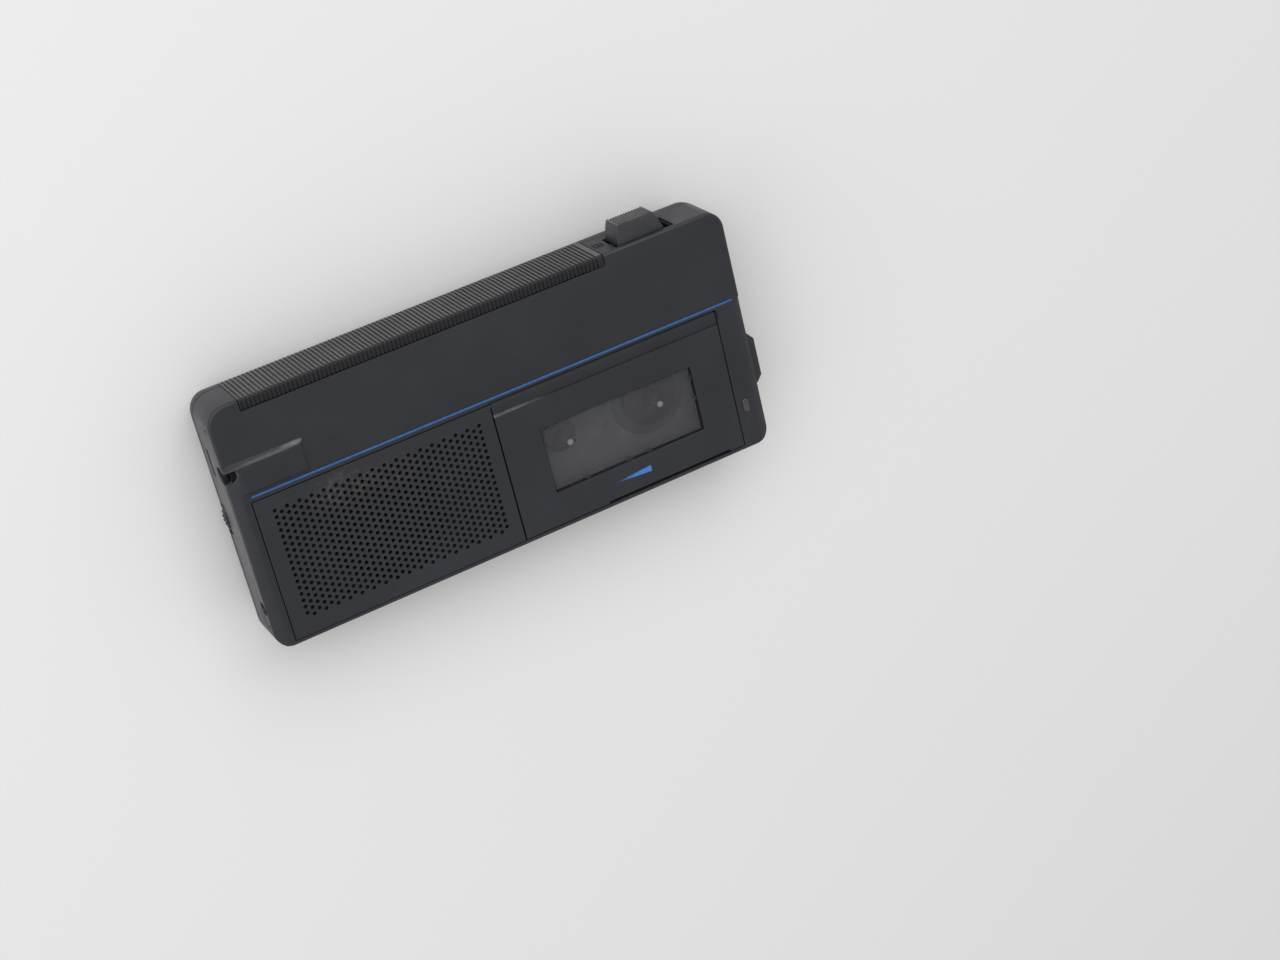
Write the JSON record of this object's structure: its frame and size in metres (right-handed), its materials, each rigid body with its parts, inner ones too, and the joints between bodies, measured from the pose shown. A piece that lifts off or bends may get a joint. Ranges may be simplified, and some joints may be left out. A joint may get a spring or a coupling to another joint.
{
  "type": "dictation machine",
  "caption": "Slim black pocket dictation machine for mini cassettes with a speaker grille, windowed cassette door, ribbed battery cover, thumb slide and end button.",
  "frame": {"origin": "middle of the flat back, on the surface that the machine lies on", "axes": "+X along the case towards the end button, +Y towards the ribbed battery side, +Z out of the front"},
  "size_m": [0.1367, 0.0666, 0.0231],
  "materials": {
    "front_plastic": "fine-grained charcoal moulding",
    "rear_plastic": "fine-grained charcoal moulding",
    "accent_blue": "blue inlaid line",
    "grille_plastic": "fine-grained charcoal moulding",
    "door_plastic": "fine-grained charcoal moulding",
    "smoked_window": "smoked clear plastic",
    "cover_plastic": "ribbed charcoal moulding",
    "control_black": "satin black moulding",
    "inner_plastic": "black moulding",
    "carrier_plastic": "natural acetal",
    "deck_plastic": "dark grey moulding",
    "cone_paper": "pressed paper",
    "board_green": "lacquered board",
    "lamp_lens": "milky translucent lens",
    "soft_rubber": "black rubber",
    "plated_steel": "nickel-plated sheet",
    "magnet_ferrite": "ferrite in a plated cup",
    "brass": "turned brass",
    "cell_sleeve": "plain printed sleeve on a metal can"
  },
  "bodies": {
    "case": {"front_case": "front_plastic", "rear_case": "rear_plastic", "accent_strip": "accent_blue", "speaker_grille": "grille_plastic", "door_hinge_pin": "plated_steel", "door_catch": "plated_steel", "battery_tray": "inner_plastic", "cell_left": "cell_sleeve", "cell_right": "cell_sleeve", "contact_spring": "plated_steel", "contact_plate": "plated_steel", "switch_board": "board_green", "button_spring": "plated_steel", "record_switch": "inner_plastic", "volume_control": "inner_plastic", "indicator_lens": "lamp_lens", "earphone_socket": "inner_plastic", "charge_socket": "inner_plastic", "microphone": "plated_steel", "mic_grommet": "soft_rubber", "speaker_basket": "plated_steel", "speaker_cone": "cone_paper", "speaker_magnet": "magnet_ferrite", "main_board": "board_green", "board_parts": "inner_plastic", "deck_tray": "deck_plastic", "pulley_axle": "plated_steel", "drive_belt": "soft_rubber", "motor": "plated_steel", "case_screws": "plated_steel", "deck_screws": "plated_steel"},
    "door": {"cassette_door": "door_plastic", "door_window": "smoked_window"},
    "cover": {"battery_cover": "cover_plastic"},
    "slide": {"slide_knob": "control_black", "slide_carrier": "carrier_plastic"},
    "heads": {"head_plate": "plated_steel", "record_head": "plated_steel", "erase_head": "inner_plastic"},
    "button": {"end_button": "control_black"},
    "volume": {"volume_wheel": "control_black"},
    "supply": {"supply_spindle": "deck_plastic"},
    "takeup": {"takeup_spindle": "deck_plastic"},
    "drive": {"drive_pulley": "carrier_plastic"},
    "motor_shaft": {"motor_pulley": "brass"}
  },
  "joints": [
    {"name": "door_hinge", "type": "hinge", "parent": "case", "child": "door", "pos_m": [0.0287, 0.0056, 0.0208], "axis": [-1, 0, 0], "range_deg": [0, 75]},
    {"name": "cover_slide", "type": "slide", "parent": "case", "child": "cover", "axis": [0, 1, 0], "range_m": [0, 0.02]},
    {"name": "knob_slide", "type": "slide", "parent": "case", "child": "slide", "axis": [1, 0, 0], "range_m": [-0.0006, 0.0024]},
    {"name": "head_shift", "type": "slide", "parent": "case", "child": "heads", "axis": [0, -1, 0], "range_m": [-0.0003, 0.0012]},
    {"name": "button_push", "type": "slide", "parent": "case", "child": "button", "axis": [-1, 0, 0], "range_m": [0, 0.0016], "stiffness_N_per_m": 600, "deforming": ["button_spring"]},
    {"name": "volume_turn", "type": "hinge", "parent": "case", "child": "volume", "pos_m": [-0.0591, 0.0004, 0.0105], "axis": [0, 0, 1], "range_deg": [-135, 135]},
    {"name": "takeup_spin", "type": "hinge", "parent": "case", "child": "takeup", "pos_m": [0.04175, -0.0127, 0.0098], "axis": [0, 0, 1], "continuous": true},
    {"name": "supply_spin", "type": "hinge", "parent": "case", "child": "supply", "pos_m": [0.01685, -0.0127, 0.0098], "axis": [0, 0, 1], "continuous": true},
    {"name": "drive_spin", "type": "hinge", "parent": "case", "child": "drive", "pos_m": [0.03024, -0.01611, 0.0058], "axis": [0, 0, 1], "continuous": true},
    {"name": "motor_spin", "type": "hinge", "parent": "case", "child": "motor_shaft", "pos_m": [-0.00855, -0.02, 0.0098], "axis": [0, 0, 1], "continuous": true}
  ],
  "couplings": [
    {"joint": "head_shift", "follows": "knob_slide", "ratio": 0.5},
    {"joint": "drive_spin", "follows": "takeup_spin", "ratio": -2.4286},
    {"joint": "motor_spin", "follows": "takeup_spin", "ratio": -10.794}
  ]
}
